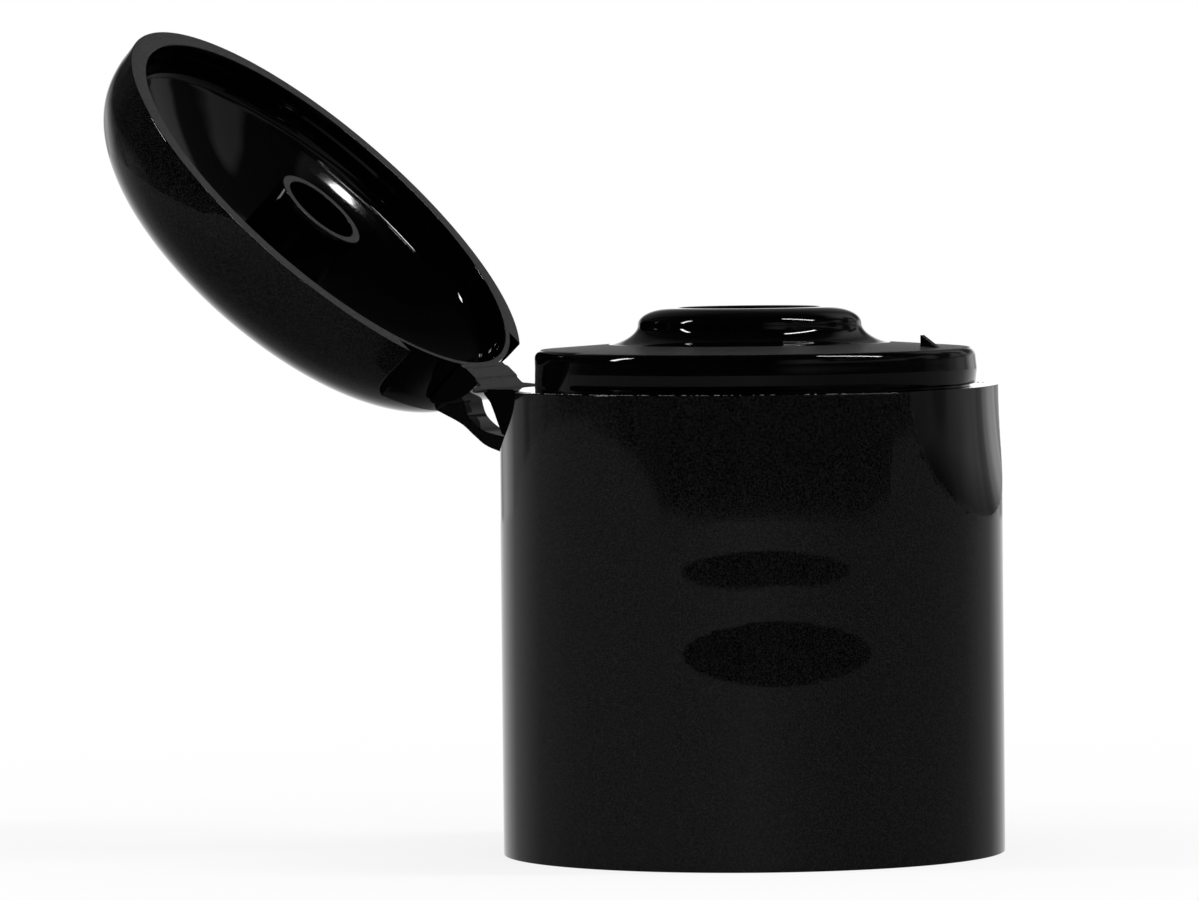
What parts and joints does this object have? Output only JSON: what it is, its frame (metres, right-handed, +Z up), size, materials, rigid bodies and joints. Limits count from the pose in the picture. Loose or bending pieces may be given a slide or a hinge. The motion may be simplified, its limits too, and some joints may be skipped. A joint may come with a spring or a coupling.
{
  "type": "snap top dispensing cap",
  "caption": "Round flip-top dispensing cap with a domed snap lid standing open on its hinge, a short pour spout and a thumb scoop",
  "frame": {"origin": "centre of the skirt's open mouth, on the cap's axis", "axes": "+X towards the thumb scoop at the front, -X towards the hinge, +Z up along the cap's axis to the spout"},
  "size_m": [0.0486, 0.0264, 0.0432],
  "materials": {
    "black_polypropylene": "smooth moulded polypropylene with a soft gloss"
  },
  "bodies": {
    "cap": {"cap_body": "black_polypropylene", "hinge_film": "black_polypropylene", "spring_strap": "black_polypropylene"},
    "lid": {"lid": "black_polypropylene"}
  },
  "joints": [
    {"name": "lid_hinge", "type": "hinge", "parent": "cap", "child": "lid", "pos_m": [-0.01403, 0, 0.02429], "axis": [0, 1, 0], "range_deg": [-12, 136], "deforming": ["hinge_film", "spring_strap"]}
  ]
}
